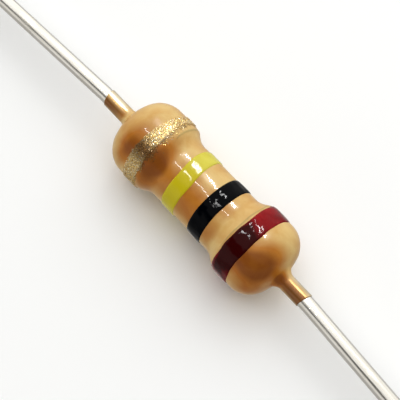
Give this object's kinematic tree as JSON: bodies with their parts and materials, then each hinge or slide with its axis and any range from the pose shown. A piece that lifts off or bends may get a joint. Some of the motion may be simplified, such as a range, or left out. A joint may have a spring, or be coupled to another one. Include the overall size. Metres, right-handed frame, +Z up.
{
  "type": "axial resistor",
  "caption": "Dog-bone resistor body in tan lacquer with painted colour rings and a straight tinned wire at each end, lying on a flat surface.",
  "frame": {"origin": "on the resting surface, under the middle of the part's box", "axes": "+X along the body's axis, from the first colour ring (red) to the last (gold); +Y the side that both wires bend towards; +Z up from the resting surface"},
  "size_m": [0.0622, 0.0028, 0.0025],
  "materials": {
    "ceramic_rod": "fired, unglazed",
    "carbon": "matte black film",
    "cap_steel": "tinned, satin",
    "tinned_wire": "tinned, bright",
    "tan_lacquer": "glossy baked lacquer",
    "red_paint": "glossy",
    "black_paint": "glossy",
    "yellow_paint": "glossy",
    "gold_paint": "metallic flakes in clear paint"
  },
  "bodies": {
    "root": {"ceramic_core": "ceramic_rod", "carbon_film": "carbon", "end_cap_left": "cap_steel", "end_cap_right": "cap_steel", "lead_left": "tinned_wire", "lead_right": "tinned_wire", "coating": "tan_lacquer", "band_red": "red_paint", "band_black": "black_paint", "band_yellow": "yellow_paint", "band_gold": "gold_paint"}
  },
  "joints": []
}
